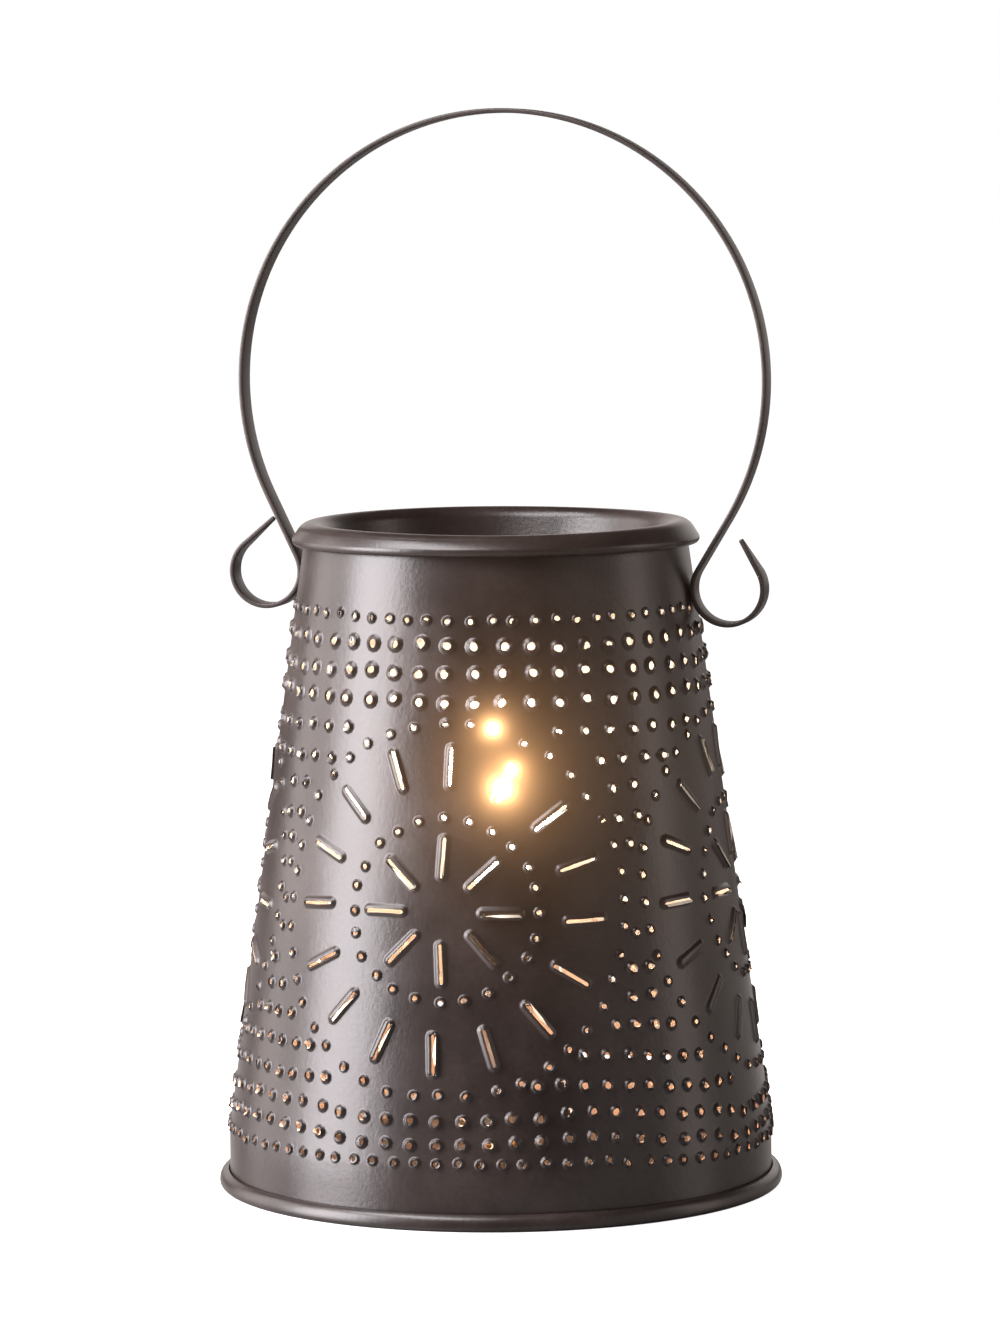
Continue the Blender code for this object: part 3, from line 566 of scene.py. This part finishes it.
class Sheet:
    def __init__(self, size):
        self.size = size
        self.cone = Cone(size)
        self.chance = random.Random(size["seed"])
        self.marks = []

    def spots(self, mark):
        # Points along a mark's middle line, for spacing
        place, turn, kind = mark
        half = punches[kind][1]
        along = Vector((-math.sin(turn), math.cos(turn)))
        return [place + along * (half * step) for step in ((-1, -0.5, 0, 0.5, 1) if half else (0,))]

    def punch(self, place, kind, turn=0.0):
        wander = pattern["slotJitter"] if punches[kind][1] else pattern["jitter"]
        place = place + Vector((self.chance.gauss(0, wander), self.chance.gauss(0, wander)))
        mark = (place, turn, kind)
        if not (self.atSeam(place) or self.underCurl(place) or self.meetsMark(mark)):
            self.marks.append(mark)

    def atSeam(self, place):
        room, radius = self.size["seamRoom"]
        away = math.remainder(self.cone.degrees(place) - self.size["seam"], 360)
        return abs(math.radians(away) * radius) < room

    def underCurl(self, place):
        angle, side, lowest = self.size["curlRoom"]
        away = math.remainder(self.cone.degrees(place) - angle, 360)
        return abs(away) < side and self.cone.rolled(place.to_3d()).z / mm > lowest

    def meetsMark(self, mark):
        place, _, kind = mark
        for other in self.marks:
            room = punches[kind][2] + punches[other[2]][2] - pattern["overlap"]
            if (other[0] - place).length < room + pattern["farApart"]:
                if any((a - b).length < room for a in self.spots(mark) for b in self.spots(other)):
                    return True
        return False

    def inSheet(self, degrees):
        # The same angle, inside the flat sheet that ends at the seam
        return self.size["seam"] - (self.size["seam"] - degrees) % 360

    def punchMedallion(self, medallion):
        degrees = self.inSheet(medallion)
        lean = math.radians(degrees) * math.sin(self.cone.lean)
        rings = {"innerSlots": "slot", "outerSlots": "slot", "innerRing": "small", "outerRing": "small"}
        for key, kind in rings.items():
            count, across, up, start = pattern[key]
            for i in range(count):
                turn = math.radians(start) + fullTurn * i / count
                sideways, upward = pattern["strays"].get((key, i), (0, 0))
                place = self.cone.besideMedallion(
                    degrees, across * math.sin(turn) + sideways, up * math.cos(turn) + upward
                )
                tilt = self.chance.gauss(0, pattern["slotTilt"]) if kind == "slot" else 0
                blind = (medallion, key, i) in pattern["blind"]
                self.punch(place, "blindSlot" if blind else kind, lean - turn + tilt)

    def rowHeight(self, degrees, height):
        # The upper rows run level with the mouth, which is lower in front, and the low rows sag on the right
        place = self.cone.rolled(self.cone.flat(degrees, height).to_3d())
        level = height - mouthDrop(place) * ramped(height, *pattern["mouthDrop"])
        depth, middle, width = pattern["sag"]
        away = min(abs(math.remainder(degrees - middle, 360)) / width, 1.0)
        start, reach = pattern["sagFrom"]
        share = ramped(level, start, -reach) * min(level / pattern["sagFoot"], 1.0)
        return level - depth * share * (0.5 + 0.5 * math.cos(math.pi * away))

    def punchRows(self):
        few, many = pattern["rowWaves"]
        for height, count, wander, dip, kind in pattern["rows"]:
            waves = [(self.chance.randint(few, many), self.chance.uniform(0, fullTurn)) for _ in range(3)]
            for i in range(count):
                degrees = self.inSheet(360 * i / count)
                turn = math.radians(degrees)
                lift = wander * sum(math.sin(turn * n + phase) for n, phase in waves) / 3
                near = max(math.cos(math.radians(degrees - medallion)) for medallion in pattern["medallions"])
                lift -= dip * max(0.0, (near - 1 + pattern["dipWidth"]) / pattern["dipWidth"])
                self.punch(self.cone.flat(degrees, self.rowHeight(degrees, height) + lift), kind)

    def punchSpandrels(self):
        angles = sorted(a % 360 for a in pattern["medallions"])
        for first, second in zip(angles, angles[1:] + [angles[0] + 360]):
            middle = (first + second) / 2
            for height, count, apart, kind in pattern["spandrel"]:
                for i in range(count):
                    degrees = self.inSheet(middle + (i - (count - 1) / 2) * apart)
                    self.punch(self.cone.flat(degrees, self.rowHeight(degrees, height)), kind)

    def outline(self, mark):
        place, turn, kind = mark
        corners, half, side, _ = punches[kind]
        points = []
        if half:
            # Two round ends, with one more point half way down each flank
            endSteps = corners // 2 - 2
            for end in (1, -1):
                for i in range(endSteps + 1):
                    a = math.pi * i / endSteps + (0 if end > 0 else math.pi)
                    points.append(Vector((side * math.cos(a), end * half + side * math.sin(a))))
                points.append(Vector((-side * end, 0)))
            spin = Matrix.Rotation(turn, 2)
        else:
            points = [Vector((side, 0)) @ Matrix.Rotation(-fullTurn * i / corners, 2) for i in range(corners)]
            spin = Matrix.Rotation(self.chance.uniform(0, fullTurn), 2)
        return [place + spin @ point for point in points]

    def grid(self):
        # Heights and angles of the sheet's own points
        size = self.size
        steps = round((size["height"] - size["knee"]) / size["rowStep"])
        heights = [size["foot"], *size["footRows"]]
        heights += [size["knee"] + (size["height"] - size["knee"]) * i / steps for i in range(steps + 1)]
        turns = [size["seam"] - 360 + 360 * i / size["columns"] for i in range(size["columns"] + 1)]
        return heights, turns

    def cut(self):
        # The flat sheet as triangles round every mark, with one many-sided face for each mark
        size = self.size
        heights, turns = self.grid()
        rim = [(t, heights[0]) for t in turns] + [(turns[-1], z) for z in heights[1:]]
        rim += [(t, heights[-1]) for t in turns[-2::-1]] + [(turns[0], z) for z in heights[-2:0:-1]]
        points = [self.cone.flat(*spot) for spot in rim]
        faces = [list(range(len(points)))]
        tree = kdtree.KDTree(sum(len(self.spots(mark)) for mark in self.marks))
        reach = []
        for mark in self.marks:
            ring = self.outline(mark)
            faces.append(list(range(len(points), len(points) + len(ring))))
            points += ring
            for spot in self.spots(mark):
                tree.insert(spot.to_3d(), len(reach))
                reach.append(punches[mark[2]][2] + size["clearOfMarks"])
        tree.balance()
        for row, height in enumerate(heights[1:-1]):
            shift = 180 / size["columns"] if row % 2 and height > size["knee"] else 0
            for turn in turns[1:-1]:
                spot = self.cone.flat(turn + shift, height)
                near = tree.find_n(spot.to_3d(), 3)
                clear = all(distance > reach[index] for _, index, distance in near)
                if clear and turn + shift < turns[-1] - size["clearOfSeam"]:
                    points.append(spot)
        made, _, cells, origins, _, sources = delaunay_2d_cdt(points, [], faces, 1, size["mergeBelow"])
        bm = bmesh.new()
        corners = [bm.verts.new((*point, 0)) for point in made]
        known = {index: corner for corner, origin in zip(corners, origins) for index in origin}
        for cell, source in zip(cells, sources):
            if source == [0]:
                bm.faces.new([corners[i] for i in cell])
        marked = {kind: [] for kind in punches}
        for mark, loop in zip(self.marks, faces[1:]):
            marked[mark[2]].append(bm.faces.new([known[i] for i in loop]))
        return bm, marked

    def raiseMarks(self, bm, marked):
        for kind, faces in marked.items():
            for wayIn, rise in punches[kind][3]:
                bmesh.ops.inset_individual(bm, faces=faces, thickness=wayIn, depth=rise, use_even_offset=True)
            if kind != "blindSlot":
                for face in faces:
                    phase = [self.chance.uniform(0, fullTurn) for _ in range(3)]
                    if kind == "slot":
                        self.tearSlot(face, phase)
                    else:
                        self.tearDot(face, phase)
                bmesh.ops.delete(bm, geom=faces, context="FACES")

    def tearSlot(self, face, phase):
        # The chisel leans, so the slit lies towards one flank of its ridge
        middle = face.calc_center_median()
        long = max(face.verts, key=lambda vert: (vert.co - middle).length).co - middle
        flank = Vector((long.y, -long.x, 0)).normalized()
        flank *= math.copysign(self.chance.uniform(*tears["slotLean"]), flank.x - flank.y)
        sink = tears["slotSink"] * flank.length
        for vert in face.verts:
            away = vert.co - middle
            along = math.atan2(away.y, away.x)
            lean = sum(math.sin(along * n + phase[n - 1]) for n in (1, 2, 3)) / 3
            vert.co += away.normalized() * (tears["slotWander"] * lean) + flank
            vert.co.z += tears["slotWander"] * math.sin(along * 2 + phase[0]) - sink

    def tearDot(self, face, phase):
        # A little out of round, and here and there a tongue of metal is left across the hole
        middle = face.calc_center_median()
        stretch = self.chance.uniform(tears["unevenLeast"], 1.0) * tears["uneven"]
        tongue = phase[0] if self.chance.random() < tears["tongueShare"] else None
        size = self.chance.uniform(*tears["holeSize"])
        length, change = tears["tongueLength"]
        sink, sinkFrom = tears["tongueSink"]
        for vert in face.verts:
            away = vert.co - middle
            turn = math.atan2(away.y, away.x)
            grow = size + stretch * math.cos(2 * (turn - phase[1]))
            grow += tears["threeSided"] * stretch * math.cos(3 * (turn - phase[2]))
            if tongue is not None:
                near = max(0.0, math.cos(turn - tongue))
                grow -= (length + change * math.sin(phase[1])) * near ** tears["tonguePower"]
            rise = tears["edgeWave"] * math.sin(2 * turn + phase[2]) + sink * min(0.0, grow - sinkFrom)
            vert.co = middle + away * grow + Vector((0, 0, rise))

    def rollUp(self, bm):
        for vert in bm.verts:
            vert.co = self.cone.rolled(vert.co)
            vert.co.z -= mouthDrop(vert.co) * ramped(vert.co.z / mm, *self.size["mouthDrop"]) * mm
        bmesh.ops.remove_doubles(bm, verts=[v for v in bm.verts if v.is_boundary], dist=weld)


def buildWall(outside, inside):
    sheet = Sheet(wall)
    for degrees in pattern["medallions"]:
        sheet.punchMedallion(degrees)
    sheet.punchRows()
    sheet.punchSpandrels()
    bm, marked = sheet.cut()
    sheet.raiseMarks(bm, marked)
    sheet.rollUp(bm)
    print("wall:", len(sheet.marks), "marks,", len(bm.faces), "faces before its thickness")
    piece = makePiece("wall_sheet", bm, [outside, inside], "lantern", ["punched_wall"])
    thicken(piece, wall["sheet"], -1, 1)
    applyModifiers(piece, wall["sharp"])


# Dish: a bowl with a broad round brim that ends in a bead. Wall and brim are a little lower in front.
dish = {
    "sheet": 0.6,
    "floorRadius": 34.0,
    "floorRing": 0.5,  # a ring of points on the flat floor, as a share of its radius
    "crestInset": 1.44,
    "brimDrop": 7.1,
    # radii are those of the middle of the sheet, each with its steps
    "bowlCorner": (12.0, 12),
    "crest": (3.9, 20),
    "bead": (1.2, 14),
    "beadEnd": -154.8,
    "segments": 160,
    "frontDrop": 1.5,
    "dropPower": 1.5,  # the larger, the narrower the low part of the mouth
    "lowest": 13.0,  # from the front medallion
    "wander": 0.12,
    "mouthDrop": (1.0, 3.0),  # from this far above the bead's middle, and fully after this
    "levelRadius": 40.0,  # further in, the drop fades out towards the middle
    "sharp": 60,
}


def mouthDrop(place):
    turn = math.atan2(place.x, -place.y) - math.radians(dish["lowest"])
    drop = dish["frontDrop"] * (0.5 + 0.5 * math.cos(turn)) ** dish["dropPower"]
    return drop + dish["wander"] * (math.sin(3 * turn + 1) - 1)


def buildDish(material):
    low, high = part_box("warming_dish")
    half = dish["sheet"] / 2
    cornerRadius, cornerSteps = dish["bowlCorner"]
    crestRadius, crestSteps = dish["crest"]
    beadRadius, beadSteps = dish["bead"]
    top = high.z / mm
    crest = (wall["topRadius"] - dish["crestInset"], top - half - crestRadius)
    bead = (high.x / mm - half - beadRadius, top - dish["brimDrop"] + half + beadRadius)
    floor = low.z / mm + half
    corner = (dish["floorRadius"], floor + cornerRadius)
    inward = touchAngle(crest, crestRadius, corner, cornerRadius, -1, True) % fullTurn
    outward = touchAngle(crest, crestRadius, bead, beadRadius, 1, False)
    profile = [(0.0, floor), (dish["floorRadius"] * dish["floorRing"], floor)]
    profile += arcPoints(corner, cornerRadius, -math.pi / 2, inward - math.pi, cornerSteps)
    profile += arcPoints(crest, crestRadius, inward, outward, crestSteps)
    profile += arcPoints(bead, beadRadius, outward, math.radians(dish["beadEnd"]), beadSteps)
    bm = spinProfile(profile, dish["segments"])
    turnUp(bm)
    for vert in bm.verts:
        share = ramped(vert.co.z / mm - bead[1], *dish["mouthDrop"])
        share *= min(vert.co.xy.length / (dish["levelRadius"] * mm), 1.0)
        vert.co.z -= mouthDrop(vert.co) * share * mm
    piece = makePiece("dish_bowl", bm, [material], "dish", ["warming_dish"])
    thicken(piece, dish["sheet"])
    applyModifiers(piece, dish["sharp"])


# Pan: a raised floor, a channel that stands on the table and a rolled flange that grips the wall's foot
pan = {
    "sheet": 0.6,
    "floor": 6.3,
    "floorRing": 0.6,  # a ring of points on the flat floor, as a share of the channel's radius
    "stemHole": 5.15,
    "channelSlack": 1.5,
    # the floor's round edge and the channel's side: outwards from the channel's line, and height
    "channelSide": ((-2.4, 6.3), (-1.5, 5.95), (-1.1, 5.1), (-0.9, 1.4), (-0.5, 0.6)),
    "channelFoot": 0.3,
    "flangeTop": 4.7,
    "flangeCorner": (1.3, 6),  # radius and steps
    "flangeSteps": 8,
    "grip": 0.3,  # between the wall's foot and the flange
    "lip": 1.6,
    "segments": 160,
    "sharp": 50,
}


def buildPan(material):
    _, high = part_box("base_pan")
    half = pan["sheet"] / 2
    reach = high.x / mm - half
    channel = wall["baseRadius"] - wall["sheet"] - pan["channelSlack"]
    grip = wall["baseRadius"] + pan["grip"] + half
    corner, cornerSteps = pan["flangeCorner"]
    profile = [(pan["stemHole"], pan["floor"]), (channel * pan["floorRing"], pan["floor"])]
    profile += [(channel + out, height) for out, height in pan["channelSide"]]
    profile.append((channel + pan["channelFoot"], half))
    profile += arcPoints((reach - corner, half + corner), corner, -math.pi / 2, 0, cornerSteps)
    lipHeight = pan["flangeTop"] - pan["lip"]
    for x, z in arcPoints((0, 0), 1, 0, math.pi / 2, pan["flangeSteps"])[1:]:
        profile.append((grip + (reach - grip) * x, half + corner + (lipHeight - half) * z))
    profile.append((grip, lipHeight))
    bm = spinProfile(profile, pan["segments"])
    turnUp(bm, pan["flangeTop"])
    piece = makePiece("pan_floor_and_flange", bm, [material], "lantern", ["base_pan"])
    thicken(piece, pan["sheet"])
    applyModifiers(piece, pan["sharp"])


# Handle: one strap bent into an arch, two legs and two curled feet
handle = {
    "width": 8.0,
    "sheet": 1.3,
    "archRadius": 74.8,
    "archOffset": 2.3,
    "curlRadius": 9.9,
    "curlGap": 0.3,
    # curl's middle below the mouth, then past a full turn where the tail leaves the curl, and its length
    "rightFoot": (18.0, 28.0, 10.5),
    "leftFoot": (14.0, 50.0, 11.8),
    "tipWidth": 1.5,
    "archSteps": 56,
    "curlSteps": 44,
    "edgeRound": 0.42,
    "edgeSteps": 3,
    "edgeAngle": 60,
    "sharp": 35,
}


def curlCentre(drop):
    height = wall["height"] - drop
    slope = (wall["baseRadius"] - wall["topRadius"]) / (wall["height"] - wall["knee"])
    reach = handle["curlRadius"] + handle["sheet"] / 2 + handle["curlGap"]
    return wall["baseRadius"] - slope * (height - wall["knee"]) + reach / math.cos(math.atan(slope)), height


def bendSide(bm, crown, side, centre, foot):
    # Bends half the strap from the crown down: spin about the arch, a straight leg, spin about the curl
    drop, past, tail = foot
    curl = curlCentre(drop)
    middle = (centre[0] * side, centre[1])
    touch = touchAngle(middle, handle["archRadius"], curl, handle["curlRadius"], 1, True)
    leave = math.remainder(touch, fullTurn)

    def swing(edges, about, angle, steps):
        verts = list({v for e in edges for v in e.verts})
        made = bmesh.ops.spin(
            bm, geom=verts + edges, cent=(about[0] * side * mm, 0, about[1] * mm), axis=(0, 1, 0),
            angle=angle * side, steps=steps,
        )["geom_last"]
        return [item for item in made if isinstance(item, bmesh.types.BMEdge)]

    def draw(edges, move):
        made = bmesh.ops.extrude_edge_only(bm, edges=edges)["geom"]
        verts = [item for item in made if isinstance(item, bmesh.types.BMVert)]
        bmesh.ops.translate(bm, verts=verts, vec=(move[0] * side * mm, 0, move[1] * mm))
        drawn = [item for item in made if isinstance(item, bmesh.types.BMEdge)]
        return [edge for edge in drawn if all(vert in verts for vert in edge.verts)]

    edges = swing(crown, middle, math.pi / 2 - leave, handle["archSteps"])
    start = Vector(middle) + Vector((math.cos(leave), math.sin(leave))) * handle["archRadius"]
    end = Vector(curl) - Vector((math.cos(leave), math.sin(leave))) * handle["curlRadius"]
    edges = draw(edges, end - start)
    opening = fullTurn + math.radians(past)
    edges = swing(edges, curl, -(opening - leave - math.pi), handle["curlSteps"])
    lean = Vector((-math.sin(opening), math.cos(opening)))
    for edge in draw(edges, lean * tail):
        front = min(edge.verts, key=lambda vert: vert.co.y)
        edge.other_vert(front).co.y = front.co.y + handle["tipWidth"] * mm


def buildHandle(material):
    _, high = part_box("strap_handle")
    archHeight = high.z / mm - handle["sheet"] / 2 - handle["archRadius"]
    centre = (handle["archOffset"], archHeight)
    bm = bmesh.new()
    crownPlace = (centre[0] * mm, (archHeight + handle["archRadius"]) * mm)
    pair = [bm.verts.new((crownPlace[0], y * handle["width"] / 2 * mm, crownPlace[1])) for y in (-1, 1)]
    crown = [bm.edges.new(pair)]
    bendSide(bm, crown, 1, centre, handle["rightFoot"])
    bendSide(bm, crown, -1, centre, handle["leftFoot"])
    bmesh.ops.remove_doubles(bm, verts=bm.verts, dist=weld)
    bmesh.ops.recalc_face_normals(bm, faces=bm.faces)
    piece = makePiece("handle_strap", bm, [material], "lantern", ["strap_handle"])
    thicken(piece, handle["sheet"])
    rounding = piece.modifiers.new("rounded edges", "BEVEL")
    rounding.width = handle["edgeRound"] * mm
    rounding.segments = handle["edgeSteps"]
    rounding.limit_method = "ANGLE"
    rounding.angle_limit = math.radians(handle["edgeAngle"])
    applyModifiers(piece, handle["sharp"])


# Bulb: clear glass in a candle-flame shape, with a glowing filament
bulb = {
    "glass": 0.7,
    "radius": 16.0,
    "neck": 5.0,
    "tipWidth": 5.0,
    "base": 61.0,
    "capTop": 16.9,  # this and the belly are above the base
    "belly": 46.0,
    # pulls of the two curves, as shares: neck outwards and up, belly down and up, tip down
    "neckPull": (0.1, 0.5),
    "bellyPull": (0.5, 0.45),
    "tipPull": 0.1,
    "curveSteps": (14, 16),
    "segments": 48,
    "sharp": 50,
    # height, watts, colour and radius of the lamp that lights the lantern
    "lamp": (101.0, 0.26, (0.92, 0.95, 0.98), 3.0),
    "filament": {
        "feet": 5.0,
        "peaks": 2.5,
        "coil": 0.42,
        "wire": 0.1,
        "wireSides": 5,
        "pitch": 0.62,
        "stepsPerTurn": 8,
        "cold": (0.2, 0.12, 0.06),
        "glow": (1.0, 0.50, 0.18),
        "glowStrength": 350.0,
        # the hottest places, which the camera sees through the front holes: across, height, watts
        "hotSpots": ((-1.2, 127.9, 0.014), (0.8, 111.0, 0.090), (4.0, 116.8, 0.008)),
        "hotRadius": 0.8,
        "hotColour": (1.0, 0.52, 0.22),
    },
}


def glowingWire(setup):
    finish = Finish("glowingFilament")
    finish.surface({
        "Base Color": setup["cold"],
        "Emission Color": setup["glow"],
        "Emission Strength": setup["glowStrength"],
    })
    return finish.material


def windFilament(size):
    # Coiled wire on the zigzag of the CAD filament: four straight coils, each spun along its own length
    low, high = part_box("filament")
    ends = [(-size["feet"], low.z / mm), (-size["peaks"], high.z / mm), (0, low.z / mm)]
    ends += [(size["peaks"], high.z / mm), (size["feet"], low.z / mm)]
    inset = high.y / mm
    ends = [Vector((x, 0, z + (inset if i % 2 == 0 else -inset))) for i, (x, z) in enumerate(ends)]
    bm = bmesh.new()
    sides, radius = size["wireSides"], size["wire"] * mm
    for start, end in zip(ends, ends[1:]):
        length = (end - start).length
        turns = round(length / size["pitch"])
        steps = turns * size["stepsPerTurn"]
        loop = bmesh.ops.create_circle(bm, segments=sides, radius=radius, cap_ends=True)["verts"]
        upright = Matrix.Rotation(math.pi / 2, 4, "X")
        aside = Matrix.Translation((size["coil"] * mm, 0, 0))
        bmesh.ops.transform(bm, verts=loop, matrix=aside @ upright)
        face = loop[0].link_faces[0]
        bmesh.ops.spin(
            bm, geom=[face, *face.edges, *face.verts], cent=(0, 0, 0), axis=(0, 0, 1),
            dvec=(0, 0, length * mm / steps), angle=fullTurn * turns, steps=steps,
        )
        verts = [vert for vert in bm.verts if not vert.tag]
        lean = (end - start).to_track_quat("Z", "Y").to_matrix().to_4x4()
        bmesh.ops.transform(bm, verts=verts, matrix=Matrix.Translation(start * mm) @ lean)
        for vert in verts:
            vert.tag = True
    bmesh.ops.recalc_face_normals(bm, faces=bm.faces)
    makePiece("coiled_filament", bm, [glowingWire(size)], "bulb", ["filament"])


def buildBulb(glass):
    low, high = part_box("bulb_glass")
    half = bulb["glass"] / 2
    neck = bulb["neck"]
    neckTop = bulb["base"] + bulb["capTop"]
    belly = (bulb["radius"] - half, bulb["base"] + bulb["belly"])
    tip = high.z / mm - half
    spread, rise = belly[0] - neck, belly[1] - neckTop
    height = tip - belly[1]
    neckOut, neckUp = bulb["neckPull"]
    bellyDown, bellyUp = bulb["bellyPull"]
    lowerSteps, upperSteps = bulb["curveSteps"]
    knots = [(neck, neckTop), (neck + neckOut * spread, neckTop + neckUp * rise)]
    knots += [(belly[0], belly[1] - bellyDown * rise), belly]
    lower = interpolate_bezier(*[Vector((*knot, 0)) for knot in knots], lowerSteps)
    knots = [belly, (belly[0], belly[1] + bellyUp * height)]
    knots += [(bulb["tipWidth"], tip - bulb["tipPull"] * height), (0.0, tip)]
    upper = interpolate_bezier(*[Vector((*knot, 0)) for knot in knots], upperSteps)
    profile = [(neck, low.z / mm)] + [(point.x, point.y) for point in lower + upper[1:]]
    bm = spinProfile(profile, bulb["segments"])
    piece = makePiece("bulb_envelope", bm, [glass], "bulb", ["bulb_glass"])
    thicken(piece, bulb["glass"])
    applyModifiers(piece, bulb["sharp"])
    size = bulb["filament"]
    windFilament(size)
    lampHeight, lampWatts, lampColour, lampRadius = bulb["lamp"]
    addGlow("bulbGlow", (0, lampHeight), lampWatts, lampColour, lampRadius, False)
    for number, (across, height, watts) in enumerate(size["hotSpots"]):
        addGlow(f"hotSpot{number}", (across, height), watts, size["hotColour"], size["hotRadius"], True)


def addGlow(name, place, watts, colour, radius, seen):
    data = bpy.data.lights.new(name, "POINT")
    data.energy = watts
    data.color = colour
    data.shadow_soft_size = radius * mm
    lamp = bpy.data.objects.new(name, data)
    lamp.location = (place[0] * mm, 0, place[1] * mm)
    lamp.visible_camera = seen
    scene.collection.objects.link(lamp)


# Pieces of the lamp holder and the cord inlet keep their solids and get their real finishes:
# colour, roughness, metallic, grain per metre and its depth in metres, then the pieces
holder = {
    "zincPlate": (
        (0.60, 0.61, 0.62), 0.34, 1.0, 900.0, 0.00002,
        ("stem_tube", "lower_washer", "upper_washer", "socket_cup", "lead_wire_left", "lead_wire_right",
         "support_wire_left", "support_wire_right"),
    ),
    "lacqueredBrass": (
        (0.78, 0.56, 0.24), 0.28, 1.0, 900.0, 0.00002,
        ("lower_lock_nut", "upper_lock_nut", "screw_shell", "centre_contact"),
    ),
    "nickelledCap": ((0.70, 0.66, 0.58), 0.26, 1.0, 900.0, 0.00002, ("bulb_cap",)),
    "solderBead": ((0.62, 0.62, 0.63), 0.4, 1.0, 900.0, 0.00002, ("cap_contact",)),
    "blackPhenolic": ((0.03, 0.028, 0.027), 0.38, 0.0, 700.0, 0.00003, ("socket_body",)),
    "blackRubber": ((0.022, 0.022, 0.023), 0.72, 0.0, 1200.0, 0.00004, ("inlet_grommet",)),
    "blackGlass": ((0.012, 0.012, 0.014), 0.14, 0.0, 300.0, 0.00001, ("cap_insulator",)),
}


def finishHolder(glass):
    for name, (colour, roughness, metallic, grain, depth, pieces) in holder.items():
        dressNodes(pieces, plainMaterial(name, plainFinish, colour, roughness, metallic, grain, depth))
    dressNodes(("glass_stem",), glass)


def dressNodes(names, material):
    for name in names:
        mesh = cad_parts[name].data
        mesh.materials.clear()
        mesh.materials.append(material)


# The lamp's bloom, as a lens gives it
bloom = {"threshold": 20.0, "size": 0.35, "stops": 1.0}


def addBloom(setup):
    lens = emptyWiring(scene)
    picture = lens.node("CompositorNodeRLayers", output="Image")
    sockets = {"Image": picture, "Threshold": setup["threshold"], "Strength": 1.0, "Size": setup["size"]}
    glare = lens.node("CompositorNodeGlare", {"glare_type": "BLOOM", "quality": "HIGH"}, sockets, "Glare")
    brighter = lens.node("CompositorNodeExposure", {}, {"Image": glare, "Exposure": setup["stops"]})
    added = lens.node("CompositorNodeMixRGB", {"blend_type": "ADD"}, {1: picture, 2: brighter})
    lens.node("CompositorNodeComposite", {}, {"Image": added})


def main():
    scene.view_settings.view_transform = "Standard"
    placeCamera(cameraSetup)
    lightStudio(studio)
    print("studio ready")
    tin = darkTin("darkTin", tinFinish)
    buildWall(tin, warmInside(insideFinish))
    print("wall ready")
    buildDish(tin)
    buildPan(tin)
    print("dish and pan ready")
    buildHandle(darkTin("darkStrap", strapFinish))
    print("handle ready")
    glass = clearGlass(glassFinish)
    finishHolder(glass)
    buildBulb(glass)
    print("lamp ready")
    addBloom(bloom)


main()
